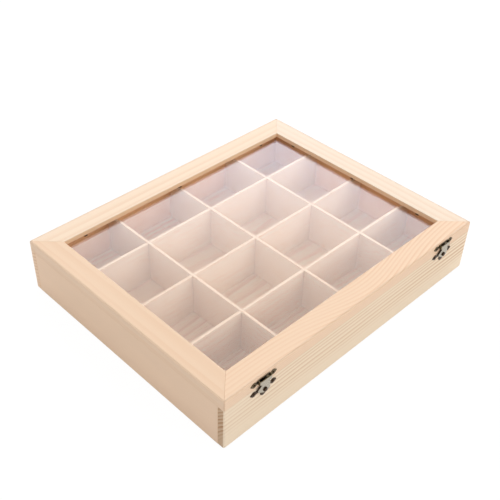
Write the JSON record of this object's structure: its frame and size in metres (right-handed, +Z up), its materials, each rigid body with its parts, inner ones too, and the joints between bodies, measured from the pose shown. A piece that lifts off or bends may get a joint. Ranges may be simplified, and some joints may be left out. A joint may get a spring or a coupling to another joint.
{
  "type": "mineral specimen box",
  "caption": "Shallow wooden collection case divided into square-ish cells under a hinged, glazed lid that closes with swinging clasps.",
  "frame": {"origin": "middle of the underside, on the surface the case stands on", "axes": "+X along the long side, from the left clasp to the right one, -Y towards the clasps, +Y towards the hinges, +Z up through the pane"},
  "size_m": [0.3, 0.2466, 0.051],
  "materials": {
    "case_wood": "sanded bare pine with straight grain, unvarnished",
    "floor_wood": "sanded bare thin wood panel",
    "divider_wood": "sanded bare light wood strip",
    "lid_wood": "sanded bare pine with flowing grain, unvarnished",
    "pane": "clear float glass, polished",
    "glazing_steel": "dark blued steel dart",
    "hinge_bronze": "pressed sheet with a dark antique bronze plating",
    "pin_steel": "drawn wire, dark",
    "nail_bronze": "dark antique bronze plating, worn bright on the dome",
    "clasp_bronze": "pressed sheet with a dark antique bronze plating, worn edges",
    "lever_bronze": "antique bronze plating rubbed bright on the face",
    "rivet_bronze": "dark antique bronze plating"
  },
  "bodies": {
    "case": {"front_board": "case_wood", "back_board": "case_wood", "left_board": "case_wood", "right_board": "case_wood", "bottom_panel": "floor_wood", "long_divider_1": "divider_wood", "long_divider_2": "divider_wood", "long_divider_3": "divider_wood", "cross_divider_1": "divider_wood", "cross_divider_2": "divider_wood", "cross_divider_3": "divider_wood", "hinge_case_leaf_left": "hinge_bronze", "hinge_case_leaf_right": "hinge_bronze", "hinge_pin_left": "pin_steel", "hinge_pin_right": "pin_steel", "hinge_case_nails": "nail_bronze", "clasp_base_plate_left": "clasp_bronze", "clasp_base_plate_right": "clasp_bronze", "clasp_rivet_left": "rivet_bronze", "clasp_rivet_right": "rivet_bronze", "clasp_case_nails": "nail_bronze"},
    "lid": {"lid_front_rail": "lid_wood", "lid_back_rail": "lid_wood", "lid_left_rail": "lid_wood", "lid_right_rail": "lid_wood", "glass_pane": "pane", "glazing_points": "glazing_steel", "hinge_lid_leaf_left": "hinge_bronze", "hinge_lid_leaf_right": "hinge_bronze", "hinge_lid_nails": "nail_bronze", "clasp_strike_plate_left": "clasp_bronze", "clasp_strike_plate_right": "clasp_bronze", "clasp_lid_nails": "nail_bronze"},
    "left_lever": {"clasp_lever_left": "lever_bronze"},
    "right_lever": {"clasp_lever_right": "lever_bronze"}
  },
  "joints": [
    {"name": "lid_hinge", "type": "hinge", "parent": "case", "child": "lid", "pos_m": [0, 0.1218, 0.0415], "axis": [-1, 0, 0], "range_deg": [0, 180]},
    {"name": "left_lever_pivot", "type": "hinge", "parent": "case", "child": "left_lever", "pos_m": [-0.1115, -0.12175, 0.03705], "axis": [0, -1, 0], "range_deg": [0, 90]},
    {"name": "right_lever_pivot", "type": "hinge", "parent": "case", "child": "right_lever", "pos_m": [0.1081, -0.12175, 0.03885], "axis": [0, -1, 0], "range_deg": [0, 90]}
  ]
}
